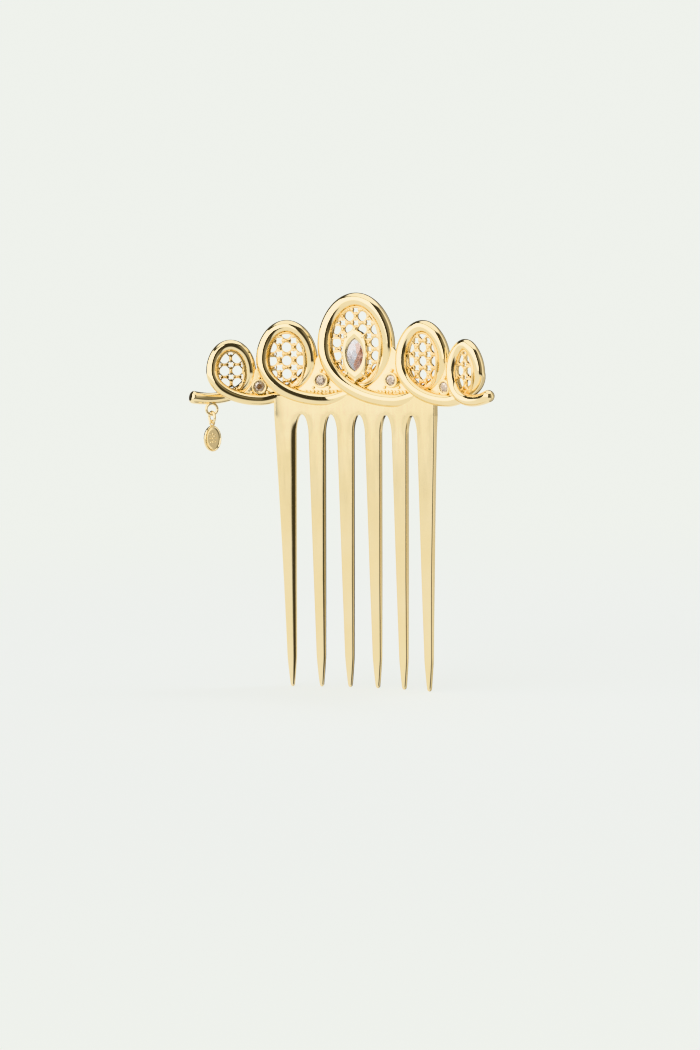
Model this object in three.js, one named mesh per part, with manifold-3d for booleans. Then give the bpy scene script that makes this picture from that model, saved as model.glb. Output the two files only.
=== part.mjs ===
// Decorative hair comb: a bent plate with six tapering teeth below a crown of five scroll loops.
// The loops hold pierced lattice panels, small bezel-set stones fill the corners between them, and
// an oval charm hangs on a jump ring under the left finial.
// Millimetres. +Z is up from the tooth tips. The decorated, concave side faces -Y.
// The origin is midway along the row of tooth tips, on the middle surface of the plate.
import * as THREE from 'three';
import { mergeVertices } from 'three/addons/utils/BufferGeometryUtils.js';
import Module from 'manifold-3d';

const wasm = await Module();
wasm.setup();

// ---- driving dimensions ----
const ARC_RADIUS = 77; // the whole comb is bent to this radius about an upright axis
const FIT_GAP = 0.3; // room kept between neighbouring pieces

const PLATE_THICKNESS = 1.9;
const PLATE_CENTRE = 0.3; // the plate sits this far along the arc from the crown's own middle
const PLATE_HALF_WIDTH = 23.3; // measured along the arc
const PLATE_TOP = 77.5;
const TOOTH_COUNT = 6;
const TOOTH_PITCH = 7.9; // measured along the arc
const TOOTH_LENGTH = 72.5; // tip to the top of the gaps
const TOOTH_ROOT_WIDTH = 4.8;
const TOOTH_TIP_WIDTH = 2.2;
const TOOTH_TIP_THICKNESS = 1.2;
const POINT_LENGTH = 8; // the last stretch, where a tooth narrows faster
const POINT_SHARE = 0.35; // width left at the very tip
const GAP_ARCH_HEIGHT = 5; // height over which a gap narrows to its rounded top

// One entry per loop, left to right: centre along the arc, half width and upper half height of the
// wire's centreline, height of the loop's middle, wire radius, the underside of the stroke below the
// loop, and how far past the centre that stroke reaches its lowest point.
const LOOPS = [
  { centre: -34.3, halfWidth: 5.1, halfHeight: 6.8, middle: 84.2, wire: 1.52, floor: 75, lowRun: 7.8 },
  { centre: -19.4, halfWidth: 6.45, halfHeight: 8.8, middle: 87, wire: 1.68, floor: 74.8, lowRun: 10.2 },
  { centre: -0.2, halfWidth: 8.7, halfHeight: 11.9, middle: 90.8, wire: 1.85, floor: 74.5, lowRun: 11.2 },
  { centre: 19.7, halfWidth: 6.3, halfHeight: 8.75, middle: 87, wire: 1.68, floor: 75, lowRun: 8.3 },
  { centre: 34.2, halfWidth: 4.4, halfHeight: 7.05, middle: 84.2, wire: 1.52, floor: 75.3, lowRun: 3.6 },
];
const LOOP_NAMES = ['left_end', 'left', 'middle', 'right', 'right_end'];
const MIDDLE_LOOP = 2;
const LEFT_FINIAL = { arc: -44.45, height: 77.55 };
const RIGHT_FINIAL = { arc: 44.8, height: 78.4 };
const FINIAL_SWELL = 1.1; // a finial's end against the rest of its wire
const HANDOVER = 0.3; // share of an entry curve that still belongs to the loop before it
const HANDOVER_GAP = 0.01; // half the share of that curve left open between the two loops
const WIRE_SIDES = 10;
const WIRE_STEP = 1.6; // distance between rings along the wire

const PANEL_THICKNESS = 1.0;
const PANEL_RIM = 0.45;
const PANEL_GAP = 0.35; // between a panel and the wire around it
const HOLE_RADIUS = 1.2;
const STAR_RADIUS = 1.1;
const STAR_WAIST = 0.55;
// One entry per loop: the spacing of the round holes, how far their rows are raised, and whether a
// column of them runs down the middle (0) or half a spacing to each side (0.5).
const HOLE_GRIDS = [
  { across: 3.35, up: 3.25, lift: 0.1, shift: 0.5 },
  { across: 3.87, up: 3.53, lift: -0.25, shift: 0 },
  { across: 3.66, up: 3.44, lift: 0.65, shift: 0.5 },
  { across: 3.87, up: 3.53, lift: -0.25, shift: 0 },
  { across: 3.35, up: 3.25, lift: 0.35, shift: 0.5 },
];
const SMALLEST_OPENING = 1.1; // cubic millimetres; smaller scraps of a hole are left filled

const MARQUISE = { arc: -0.35, height: 88.2, width: 4.6, length: 8.4 };
const BEZEL_SIDE_WALL = 1.0;
const BEZEL_END_WALL = 2.9;
const BEZEL_DEPTH = 2.0;
const STONE_GAP = 0.15;

const STONE_RADIUS = 1.5;
const CUP_WALL = 0.4;
const CUP_DEPTH = 1.8;
const WEB_THICKNESS = 1.0;
const CORNERS = [
  { arc: -26.75, height: 80.05 },
  { arc: -10.1, height: 81.55 },
  { arc: 10.1, height: 81.65 },
  { arc: 27.25, height: 80.1 },
];

const CHARM_ARC = -39.55;
const EYELET = { ring: 1.45, wire: 0.35, height: 74.25 };
const LINK = { ring: 1.45, wire: 0.33, twist: 25 };
const HANG_GAP = 0.07; // daylight between the wires that hang in each other
const TAG = { width: 5.05, length: 6.9, thickness: 0.9, rim: 0.45, relief: 0.2 };
const BAIL = { ring: 0.68, wire: 0.22 };

// ---- materials ----
const gold = new THREE.MeshStandardMaterial({ color: 0xe8c987, roughness: 0.12, metalness: 1 });
const latticeGold = new THREE.MeshStandardMaterial({ color: 0xdba94e, roughness: 0.25, metalness: 1 });
const clearStone = new THREE.MeshStandardMaterial({ color: 0xb9a79c, roughness: 0.05, metalness: 0 });
const smokyStone = new THREE.MeshStandardMaterial({ color: 0xa98972, roughness: 0.05, metalness: 0 });

// ---- shared helpers ----
// A point given as distance along the arc, height, and distance in front of the middle surface.
function bend(arc, height, front) {
  const angle = arc / ARC_RADIUS;
  const radius = ARC_RADIUS - front;
  return new THREE.Vector3(
    radius * Math.sin(angle),
    radius * Math.cos(angle) - ARC_RADIUS,
    height,
  );
}

// Bends a flat geometry whose x runs along the arc, y is height and z points to the front.
function bendGeometry(geometry) {
  const flat = mergedPositions(geometry);
  const position = flat.getAttribute('position');
  for (let i = 0; i < position.count; i += 1) {
    const point = bend(position.getX(i), position.getY(i), position.getZ(i));
    position.setXYZ(i, point.x, point.y, point.z);
  }
  return flat;
}

function mergedPositions(geometry) {
  const bare = geometry.clone();
  bare.deleteAttribute('normal');
  bare.deleteAttribute('uv');
  return mergeVertices(bare, 1e-4);
}

function toSolid(geometry) {
  const merged = mergedPositions(geometry);
  return new wasm.Manifold(new wasm.Mesh({
    numProp: 3,
    vertProperties: new Float32Array(merged.getAttribute('position').array),
    triVerts: new Uint32Array(merged.index.array),
  }));
}

function toGeometry(solid) {
  const mesh = solid.getMesh();
  const geometry = new THREE.BufferGeometry();
  geometry.setAttribute('position', new THREE.BufferAttribute(mesh.vertProperties, 3));
  geometry.setIndex(new THREE.BufferAttribute(mesh.triVerts, 1));
  return geometry;
}

function named(name, geometry, material) {
  const shaded = geometry.clone();
  shaded.computeVertexNormals();
  const mesh = new THREE.Mesh(shaded, material);
  mesh.name = name;
  return mesh;
}

// A closed tube of rings: each ring is a list of points, and both ends are filled with a fan.
function closedRings(rings) {
  const sides = rings[0].length;
  const positions = rings.flat().flatMap((point) => point.toArray());
  const indices = [];
  for (let ring = 0; ring < rings.length - 1; ring += 1) {
    for (let side = 0; side < sides; side += 1) {
      const next = (side + 1) % sides;
      const a = ring * sides + side;
      const b = ring * sides + next;
      indices.push(a, b, b + sides, a, b + sides, a + sides);
    }
  }
  const last = (rings.length - 1) * sides;
  for (let side = 1; side < sides - 1; side += 1) {
    indices.push(0, side + 1, side);
    indices.push(last, last + side, last + side + 1);
  }
  const geometry = new THREE.BufferGeometry();
  geometry.setAttribute('position', new THREE.Float32BufferAttribute(positions, 3));
  geometry.setIndex(indices);
  return geometry;
}

// ---- comb plate ----
// Half the width of a tooth on one side. A side that faces a gap flares into the gap's arch; the
// outer side of an end tooth widens to the edge of the plate instead.
function toothHalfWidth(height, outer) {
  const along = height / TOOTH_LENGTH;
  const taper = THREE.MathUtils.lerp(TOOTH_TIP_WIDTH, TOOTH_ROOT_WIDTH, along) / 2;
  const intoPoint = Math.min(1, height / POINT_LENGTH);
  const point = POINT_SHARE + (1 - POINT_SHARE) * intoPoint ** 0.6;
  if (outer) {
    const edge = PLATE_HALF_WIDTH - ((TOOTH_COUNT - 1) / 2) * TOOTH_PITCH;
    return point * (taper + (edge - TOOTH_ROOT_WIDTH / 2) * along ** 1.7);
  }
  const intoArch = Math.max(0, 1 - (TOOTH_LENGTH - height) / GAP_ARCH_HEIGHT);
  const flare = (TOOTH_PITCH / 2 - taper) * (1 - Math.sqrt(1 - intoArch ** 2));
  return point * (taper + flare);
}

// Turns a circle's coordinate into a squarer one, so that a section has nearly flat faces.
function squared(value) {
  return Math.sign(value) * Math.abs(value) ** 0.45;
}

// A bent tooth lofted from rounded sections, with a domed tip.
function toothGeometry(index) {
  const arc = PLATE_CENTRE + (index - (TOOTH_COUNT - 1) / 2) * TOOTH_PITCH;
  const dome = [
    { height: 0, share: 0.3 },
    { height: 0.12, share: 0.75 },
    { height: 0.4, share: 1 },
  ];
  const shank = [2, 5, 8, 24, 40, 56, 67.5, 70, 71.3, 72.1, TOOTH_LENGTH]
    .map((height) => ({ height, share: 1 }));
  const overlap = { height: TOOTH_LENGTH + 0.6, share: 1 };
  const rings = [...dome, ...shank, overlap].map(({ height, share }) => {
    const level = Math.min(height, TOOTH_LENGTH);
    const left = share * toothHalfWidth(level, index === 0);
    const right = share * toothHalfWidth(level, index === TOOTH_COUNT - 1);
    const thickness = share * THREE.MathUtils.lerp(
      TOOTH_TIP_THICKNESS,
      PLATE_THICKNESS,
      Math.min(1, height / (0.4 * TOOTH_LENGTH)),
    );
    return Array.from({ length: 12 }, (_, i) => {
      const angle = ((i + 0.5) / 12) * 2 * Math.PI;
      const across = squared(Math.cos(angle));
      const through = squared(Math.sin(angle));
      return bend(arc + across * (across > 0 ? right : left), height, -0.5 * thickness * through);
    });
  });
  return closedRings(rings);
}

// The plate's band joins the teeth, and its top edge is cut to seat the crown's strokes.
function combPlate(wires) {
  const height = PLATE_TOP - TOOTH_LENGTH;
  const band = new THREE.BoxGeometry(2 * PLATE_HALF_WIDTH, height, PLATE_THICKNESS, 15, 1, 1);
  band.translate(PLATE_CENTRE, TOOTH_LENGTH + height / 2, 0);
  let solid = toSolid(bendGeometry(band));
  for (let index = 0; index < TOOTH_COUNT; index += 1) {
    solid = solid.add(toSolid(toothGeometry(index)));
  }
  for (const wire of wires) {
    solid = solid.subtract(wire);
  }
  return toGeometry(solid);
}

// ---- crown scroll ----
function wireOffset(loop) {
  return loop.wire + 0.2;
}

// The height of the wire's centre where its stroke is lowest.
function strokeFloor(loop) {
  return loop.floor + loop.wire;
}

// The wire of a loop, as curves through (along the arc, height, to the front).
function loopCurves(index) {
  const loop = LOOPS[index];
  const depth = wireOffset(loop);
  const rise = loop.middle - strokeFloor(loop);
  const right = new THREE.Vector3(loop.centre + loop.halfWidth, loop.middle, -0.5 * depth);
  const left = new THREE.Vector3(loop.centre - loop.halfWidth, loop.middle, 0.5 * depth);
  const entry = entryCurve(index, right, rise, depth);
  const exit = exitCurve(index, left, rise, depth);
  return { entry, left, right, exit };
}

function lowPoint(index) {
  const loop = LOOPS[index];
  const arc = loop.centre + loop.lowRun;
  return new THREE.Vector3(arc, strokeFloor(loop), -0.2 * wireOffset(loop));
}

// From the lowest point before a loop, behind the loop's own bottom stroke, up to its right side.
function entryCurve(index, right, rise, depth) {
  if (index === 0) {
    return new THREE.CubicBezierCurve3(
      new THREE.Vector3(LEFT_FINIAL.arc, LEFT_FINIAL.height, 0),
      new THREE.Vector3(LEFT_FINIAL.arc + 7.8, LEFT_FINIAL.height - 1.8, -1.5 * depth),
      new THREE.Vector3(right.x, right.y - 0.75 * rise, -1.4 * depth),
      right,
    );
  }
  const start = lowPoint(index - 1);
  return new THREE.CubicBezierCurve3(
    start,
    new THREE.Vector3(THREE.MathUtils.lerp(start.x, right.x, 0.26), start.y, -1.35 * depth),
    new THREE.Vector3(right.x, right.y - 0.62 * rise, -1.25 * depth),
    right,
  );
}

// From a loop's left side, in front of its entry, down to its lowest point or to the right finial.
function exitCurve(index, left, rise, depth) {
  if (index === LOOPS.length - 1) {
    const end = new THREE.Vector3(RIGHT_FINIAL.arc, RIGHT_FINIAL.height, 0.9 * depth);
    return new THREE.CubicBezierCurve3(
      left,
      new THREE.Vector3(left.x + 1.2, left.y - rise, 1.25 * depth),
      new THREE.Vector3((left.x + end.x) / 2, left.y - rise - 1.2, 1.35 * depth),
      end,
    );
  }
  const end = lowPoint(index);
  return new THREE.CubicBezierCurve3(
    left,
    new THREE.Vector3(left.x, left.y - 0.6 * rise, 1.25 * depth),
    new THREE.Vector3((left.x + end.x) / 2, end.y, 1.35 * depth),
    end,
  );
}

// Points along the centre of a loop's wire. A hand-over gap of 0 lets neighbouring wires meet.
function sampleWire(index, gap) {
  const loop = LOOPS[index];
  const { entry, left, right, exit } = loopCurves(index);
  const points = [];
  const addCurve = (curve, from, to) => {
    const steps = Math.ceil((curve.getLength() * (to - from)) / WIRE_STEP);
    for (let step = 0; step < steps; step += 1) {
      points.push(curve.getPoint(THREE.MathUtils.lerp(from, to, step / steps)));
    }
  };
  addCurve(entry, index === 0 ? 0 : HANDOVER + gap, 1);
  const arcSteps = Math.ceil((Math.PI * loop.halfWidth) / WIRE_STEP) + 4;
  for (let step = 0; step < arcSteps; step += 1) {
    const angle = (step / arcSteps) * Math.PI;
    points.push(new THREE.Vector3(
      loop.centre + loop.halfWidth * Math.cos(angle),
      loop.middle + loop.halfHeight * Math.sin(angle),
      THREE.MathUtils.lerp(right.z, left.z, (1 - Math.cos(angle)) / 2),
    ));
  }
  addCurve(exit, 0, 1);
  if (index < LOOPS.length - 1) {
    const next = loopCurves(index + 1).entry;
    addCurve(next, 0, HANDOVER - gap);
    points.push(next.getPoint(HANDOVER - gap));
  } else {
    points.push(exit.getPoint(1));
  }
  return points;
}

// Sweeps the wire's round section along its points. A finial's end is domed.
function wireGeometry(index, radius, gap) {
  const path = sampleWire(index, gap).map((point) => bend(point.x, point.y, point.z));
  const domedStart = index === 0;
  const domedEnd = index === LOOPS.length - 1;
  const rings = [];
  const addRing = (centre, tangent, ringRadius) => {
    const outward = new THREE.Vector3(centre.x, centre.y + ARC_RADIUS, 0).normalize();
    const side = new THREE.Vector3().crossVectors(tangent, outward).normalize();
    const front = new THREE.Vector3().crossVectors(side, tangent).normalize();
    rings.push(Array.from({ length: WIRE_SIDES }, (_, i) => {
      const angle = (i / WIRE_SIDES) * 2 * Math.PI;
      return centre.clone()
        .addScaledVector(side, ringRadius * Math.cos(angle))
        .addScaledVector(front, -ringRadius * Math.sin(angle));
    }));
  };
  path.forEach((centre, i) => {
    const before = path[Math.max(0, i - 1)];
    const after = path[Math.min(path.length - 1, i + 1)];
    const tangent = new THREE.Vector3().subVectors(after, before).normalize();
    const atStart = i === 0 && domedStart;
    const atEnd = i === path.length - 1 && domedEnd;
    if (atStart) {
      addRing(centre.clone().addScaledVector(tangent, -0.45 * radius), tangent, 0.7 * radius);
    }
    addRing(centre, tangent, (atStart || atEnd ? FINIAL_SWELL : 1) * radius);
    if (atEnd) {
      addRing(centre.clone().addScaledVector(tangent, radius), tangent, 0.6 * radius);
    }
  });
  return closedRings(rings);
}

// ---- lattice panels ----
function ovalShape(loop, inset) {
  const across = loop.halfWidth - loop.wire - inset;
  const up = loop.halfHeight - loop.wire - inset;
  const shape = new THREE.Shape();
  const count = 28;
  const points = Array.from({ length: count }, (_, i) => {
    const angle = (i / count) * 2 * Math.PI;
    const lean = 0.16 * across * Math.max(0, -Math.sin(angle)) ** 2;
    return new THREE.Vector2(
      loop.centre + across * Math.cos(angle) + lean,
      loop.middle + up * Math.sin(angle),
    );
  });
  shape.setFromPoints(points);
  return shape;
}

function slab(shape, thickness) {
  const geometry = new THREE.ExtrudeGeometry(shape, { depth: thickness, bevelEnabled: false });
  geometry.translate(0, 0, -thickness / 2);
  return geometry;
}

function starShape(across, up) {
  const points = Array.from({ length: 8 }, (_, i) => {
    const radius = i % 2 === 1 ? STAR_RADIUS : STAR_WAIST;
    const angle = (i / 8) * 2 * Math.PI;
    return new THREE.Vector2(across + radius * Math.cos(angle), up + radius * Math.sin(angle));
  });
  return new THREE.Shape(points);
}

function octagonShape(across, up) {
  const points = Array.from({ length: 8 }, (_, i) => {
    const angle = ((i + 0.5) / 8) * 2 * Math.PI;
    return new THREE.Vector2(
      across + HOLE_RADIUS * Math.cos(angle),
      up + HOLE_RADIUS * Math.sin(angle),
    );
  });
  return new THREE.Shape(points);
}

// Round holes on a grid with a small star between every four, cut off at the rim.
function latticePanel(index, wires) {
  const loop = LOOPS[index];
  const grid = HOLE_GRIDS[index];
  const window = toSolid(slab(ovalShape(loop, PANEL_GAP + PANEL_RIM), 2 * PANEL_THICKNESS));
  let solid = toSolid(slab(ovalShape(loop, PANEL_GAP), PANEL_THICKNESS));
  if (index === MIDDLE_LOOP) {
    const room = navetteShape(MARQUISE, BEZEL_SIDE_WALL + 2 * FIT_GAP, BEZEL_END_WALL + 2 * FIT_GAP);
    solid = solid.subtract(toSolid(slab(room, 2 * PANEL_THICKNESS)));
  }
  for (let column = -3; column <= 3; column += 1) {
    for (let row = -4; row <= 4; row += 1) {
      const across = loop.centre + (column + grid.shift) * grid.across;
      const up = loop.middle + grid.lift + row * grid.up;
      const star = starShape(across + grid.across / 2, up + grid.up / 2);
      for (const cut of [octagonShape(across, up), star]) {
        const opening = toSolid(slab(cut, 3 * PANEL_THICKNESS)).intersect(window);
        if (opening.volume() > SMALLEST_OPENING) {
          solid = solid.subtract(opening);
        }
      }
    }
  }
  const bent = toSolid(bendGeometry(toGeometry(solid)));
  return toGeometry(bent.subtract(wires[index]));
}

// ---- stones and their settings ----
// The marquise's outline, widened: two arcs that meet in a point above and below.
function navetteShape({ arc, height, width, length }, side, end) {
  const halfWidth = width / 2 + side;
  const halfLength = length / 2 + end;
  const radius = (halfWidth ** 2 + halfLength ** 2) / (2 * halfWidth);
  const sweep = Math.asin(halfLength / radius);
  const points = [];
  for (const turn of [1, -1]) {
    for (let step = 0; step < 8; step += 1) {
      const angle = THREE.MathUtils.lerp(-sweep, sweep, step / 8);
      points.push(new THREE.Vector2(
        arc + turn * (radius * Math.cos(angle) - radius + halfWidth),
        height + turn * radius * Math.sin(angle),
      ));
    }
  }
  return new THREE.Shape(points);
}

function marquiseBezel() {
  const shape = navetteShape(MARQUISE, BEZEL_SIDE_WALL + STONE_GAP, BEZEL_END_WALL + STONE_GAP);
  shape.holes.push(navetteShape(MARQUISE, STONE_GAP, STONE_GAP));
  const geometry = slab(shape, BEZEL_DEPTH);
  geometry.translate(0, 0, (BEZEL_DEPTH - PANEL_THICKNESS) / 2);
  return bendGeometry(geometry);
}

// A cut stone from stacked outlines about its centre: culet, girdle and table.
function cutStone(outline, arc, height) {
  const levels = [
    { share: 0.12, front: -0.7 },
    { share: 1, front: 0.4 },
    { share: 1, front: 0.5 },
    { share: 0.6, front: 1.0 },
  ];
  return closedRings(levels.map(({ share, front }) => (
    outline.map((point) => bend(arc + point.x * share, height + point.y * share, front))
  )));
}

function marquiseStone() {
  const outline = navetteShape({ ...MARQUISE, arc: 0, height: 0 }, 0, 0).getPoints();
  return cutStone(outline.slice(0, 16), MARQUISE.arc, MARQUISE.height);
}

function roundStone({ arc, height }) {
  const outline = Array.from({ length: 12 }, (_, i) => {
    const angle = (i / 12) * 2 * Math.PI;
    return new THREE.Vector2(STONE_RADIUS * Math.cos(angle), STONE_RADIUS * Math.sin(angle));
  });
  return cutStone(outline, arc, height);
}

function upright(radius, depth, { arc, height }, back) {
  const geometry = new THREE.CylinderGeometry(radius, radius, depth, 20);
  geometry.rotateX(Math.PI / 2);
  geometry.translate(arc, height, back + depth / 2);
  return toSolid(bendGeometry(geometry));
}

// Where two strokes cross, as seen from the front: the nearest pair of their points.
function crossing(one, other) {
  let best = { distance: Infinity };
  one.forEach((point, i) => other.forEach((facing, j) => {
    const distance = Math.hypot(point.x - facing.x, point.y - facing.y);
    if (distance < best.distance) {
      best = { distance, i, j };
    }
  }));
  return best;
}

// The outline of the three-cornered space between a loop and the next, along the middles of the
// strokes around it and above the plate.
function webShape(index) {
  const here = loopCurves(index);
  const next = loopCurves(index + 1);
  const [rise, fall] = [here.entry, next.exit].map((curve) => curve.getPoints(24));
  const left = crossing(rise, here.exit.getPoints(24));
  const right = crossing(fall, next.entry.getPoints(24));
  const outline = [...rise.slice(left.i), ...fall.slice(0, right.i + 1)];
  const floor = PLATE_TOP + FIT_GAP;
  return new THREE.Shape(outline.map((point) => new THREE.Vector2(point.x, Math.max(point.y, floor))));
}

// A web that fills such a space, with a stone's cup standing on it, cut clear of the wires.
function cornerSetting(corner, index, wires) {
  const web = slab(webShape(index), WEB_THICKNESS);
  const cupRadius = STONE_RADIUS + STONE_GAP + CUP_WALL;
  let solid = toSolid(bendGeometry(web))
    .add(upright(cupRadius, CUP_DEPTH, corner, -WEB_THICKNESS / 2))
    .subtract(upright(STONE_RADIUS + STONE_GAP, 2 * CUP_DEPTH, corner, -CUP_DEPTH / 2));
  for (const wire of wires) {
    solid = solid.subtract(wire);
  }
  return toGeometry(largestPart(solid));
}

// Leaves out the loose scraps that cutting a web clear of the wires can make.
function largestPart(solid) {
  return solid.decompose().reduce((most, part) => (part.volume() > most.volume() ? part : most));
}

// ---- charm ----
const EYELET_LOW = EYELET.height - EYELET.ring;
const LINK_HEIGHT = EYELET_LOW + EYELET.wire + HANG_GAP + LINK.wire - LINK.ring;
const LINK_LOW = LINK_HEIGHT - LINK.ring;
const BAIL_HEIGHT = LINK_LOW + LINK.wire + HANG_GAP + BAIL.wire - BAIL.ring;
const TAG_TOP = BAIL_HEIGHT - BAIL.ring;

// Stands a piece made with x along the arc, y up and z to the front at the charm's own place.
function placeCharm(geometry, height, twist = 0) {
  const placed = geometry.clone();
  placed.rotateY(THREE.MathUtils.degToRad(twist));
  placed.rotateX(Math.PI / 2);
  placed.rotateZ(-CHARM_ARC / ARC_RADIUS);
  const place = bend(CHARM_ARC, height, 0);
  placed.translate(place.x, place.y, place.z);
  return placed;
}

function wireRing({ ring, wire }) {
  return mergedPositions(new THREE.TorusGeometry(ring, wire, 8, 24));
}

// The eyelet's ends are soldered to the underside of the finial.
function charmEyelet(wires) {
  const ring = toSolid(placeCharm(wireRing(EYELET), EYELET.height));
  return toGeometry(ring.subtract(wires[0]));
}

function charmLink() {
  return placeCharm(wireRing(LINK), LINK_HEIGHT, 90 + LINK.twist);
}

function ovalSlab(inset, thickness) {
  const shape = new THREE.Shape();
  shape.absellipse(0, 0, TAG.width / 2 - inset, TAG.length / 2 - inset, 0, 2 * Math.PI);
  return slab(shape, thickness);
}

// An oval disc with a raised rim on both faces, and a small bail ring on top.
function charmTag() {
  let solid = toSolid(ovalSlab(0, TAG.thickness));
  for (const face of [1, -1]) {
    const recess = ovalSlab(TAG.rim, TAG.thickness);
    recess.translate(0, 0, face * (TAG.thickness - TAG.relief));
    solid = solid.subtract(toSolid(recess));
  }
  const bail = wireRing(BAIL);
  bail.translate(0, BAIL_HEIGHT - TAG_TOP + TAG.length / 2, 0);
  solid = solid.add(toSolid(bail));
  return placeCharm(toGeometry(solid), TAG_TOP - TAG.length / 2, LINK.twist);
}

// ---- assembly ----
const group = new THREE.Group();
const clearance = LOOPS.map((loop, index) => (
  toSolid(wireGeometry(index, loop.wire + FIT_GAP, 0))
));

group.add(named('comb_plate', combPlate(clearance), gold));
LOOPS.forEach((loop, index) => {
  const wire = wireGeometry(index, loop.wire, HANDOVER_GAP);
  group.add(named(`scroll_loop_${LOOP_NAMES[index]}`, wire, gold));
  group.add(named(`lattice_${LOOP_NAMES[index]}`, latticePanel(index, clearance), latticeGold));
});
group.add(named('marquise_bezel', marquiseBezel(), gold));
group.add(named('marquise_stone', marquiseStone(), clearStone));
CORNERS.forEach((corner, index) => {
  group.add(named(`corner_setting_${index + 1}`, cornerSetting(corner, index, clearance), gold));
  group.add(named(`corner_stone_${index + 1}`, roundStone(corner), smokyStone));
});
group.add(named('charm_eyelet', charmEyelet(clearance), gold));
group.add(named('charm_link', charmLink(), gold));
group.add(named('charm_tag', charmTag(), gold));

export default group;
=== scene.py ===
"""The looks of a decorative hair comb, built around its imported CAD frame.

Shapes are worked out flat, in millimetres, as (along the arc, height, to the front), and then bent
to the comb's radius and turned into metres. The decorated side faces -Y and +Z is up.
"""
import math

import bmesh
import bpy
import numpy as np
from mathutils import Matrix, Vector
from mathutils.geometry import tessellate_polygon


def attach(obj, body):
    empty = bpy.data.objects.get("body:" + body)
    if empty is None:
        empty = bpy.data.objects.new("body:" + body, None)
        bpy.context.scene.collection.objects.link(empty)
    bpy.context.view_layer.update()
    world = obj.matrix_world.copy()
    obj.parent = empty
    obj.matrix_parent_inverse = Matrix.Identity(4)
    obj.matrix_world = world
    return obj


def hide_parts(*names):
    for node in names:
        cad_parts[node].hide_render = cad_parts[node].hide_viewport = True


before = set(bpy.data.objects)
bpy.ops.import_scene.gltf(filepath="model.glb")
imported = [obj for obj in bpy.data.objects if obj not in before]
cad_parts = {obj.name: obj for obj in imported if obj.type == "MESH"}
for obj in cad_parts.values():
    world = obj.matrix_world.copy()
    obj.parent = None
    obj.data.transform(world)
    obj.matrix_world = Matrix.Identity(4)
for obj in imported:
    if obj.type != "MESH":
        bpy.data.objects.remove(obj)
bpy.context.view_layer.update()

# ---- driving dimensions, in millimetres, the same as the CAD part's ----
MM = 0.001
ARC_RADIUS = 77.0

PLATE_THICKNESS = 1.9
PLATE_CENTRE = 0.3
PLATE_HALF_WIDTH = 23.3
PLATE_TOP = 77.5
TOOTH_COUNT = 6
TOOTH_PITCH = 7.9
TOOTH_LENGTH = 72.5
TOOTH_ROOT_WIDTH = 4.8
TOOTH_TIP_WIDTH = 2.2
TOOTH_TIP_THICKNESS = 1.2
POINT_LENGTH = 8.0
POINT_SHARE = 0.35
GAP_ARCH_HEIGHT = 5.0

LOOP_NAMES = ("left_end", "left", "middle", "right", "right_end")
MIDDLE_LOOP = 2


def crown_loop(centre, half_width, half_height, middle, wire, floor, low_run):
    return dict(centre=centre, half_width=half_width, half_height=half_height,
                middle=middle, wire=wire, floor=floor, low_run=low_run)


LOOPS = (
    crown_loop(-34.3, 5.1, 6.8, 84.2, 1.52, floor=75.0, low_run=7.8),
    crown_loop(-19.4, 6.45, 8.8, 87.0, 1.68, floor=74.8, low_run=10.2),
    crown_loop(-0.2, 8.7, 11.9, 90.8, 1.85, floor=74.5, low_run=11.2),
    crown_loop(19.7, 6.3, 8.75, 87.0, 1.68, floor=75.0, low_run=8.3),
    crown_loop(34.2, 4.4, 7.05, 84.2, 1.52, floor=75.3, low_run=3.6),
)
LEFT_FINIAL = (-44.45, 77.55)
RIGHT_FINIAL = (44.8, 78.4)
FINIAL_SWELL = 1.1
HANDOVER = 0.3

PANEL_THICKNESS = 1.0
PANEL_RIM = 0.12
SMALLEST_HOLE = 0.5
HOLE_RADIUS = 1.31
STAR_RADIUS = 1.22
STAR_WAIST = 0.44  # the hollow of a star's sides, as a share of its points' reach
STAR_SHARPNESS = 1.6
STAR_MARGIN = 0.1
# Per loop: the spacing of its round holes, how far their rows are raised, and whether a column of
# them runs down the middle (0) or half a spacing to each side (0.5).
HOLE_GRIDS = (
    dict(across=3.35, up=3.25, lift=0.1, shift=0.5),
    dict(across=3.87, up=3.53, lift=-0.25, shift=0.0),
    dict(across=3.66, up=3.44, lift=0.65, shift=0.5),
    dict(across=3.87, up=3.53, lift=-0.25, shift=0.0),
    dict(across=3.35, up=3.25, lift=0.35, shift=0.5),
)

MARQUISE = dict(arc=-0.35, height=88.2, width=4.6, length=8.4)
BEZEL_SIDE_WALL = 1.0
BEZEL_END_WALL = 2.9
SHOULDER_LENGTH = 0.88
SHOULDER_FULLNESS = 2.7
STONE_GAP = 0.15

STONE_RADIUS = 1.5
CUP_WALL = 0.4
CUP_FRONT = 1.3
GRAIN_RADIUS = 0.5
WEB_THICKNESS = 1.0
WEB_FRONT = -0.35
WEB_TUCK = 0.72  # how far out on the stroke behind it a web ends, as a share of its radius
CORNERS = ((-26.75, 80.05), (-10.1, 81.55), (10.1, 81.65), (27.25, 80.1))

CHARM_ARC = -39.55
EYELET = dict(ring=1.45, wire=0.35, height=74.25)
LINK = dict(ring=1.45, wire=0.33, twist=25.0)
HANG_GAP = 0.07
TAG = dict(width=5.05, length=6.9, thickness=0.9, rim=0.45, relief=0.2)
BAIL = dict(ring=0.68, wire=0.22)


# ---- shared helpers ----
def bend(points):
    """Bends flat points to the comb's radius, and turns millimetres into metres."""
    arc, height, front = np.asarray(points, float).reshape(-1, 3).T
    angle, radius = arc / ARC_RADIUS, ARC_RADIUS - front
    return MM * np.stack([radius * np.sin(angle), radius * np.cos(angle) - ARC_RADIUS, height], 1)


def lift(outline, front):
    """Bends an outline that lies at one distance to the front."""
    return bend(np.column_stack([outline, np.full(len(outline), front)]))


def lerp(a, b, t):
    return a + (b - a) * t


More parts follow.
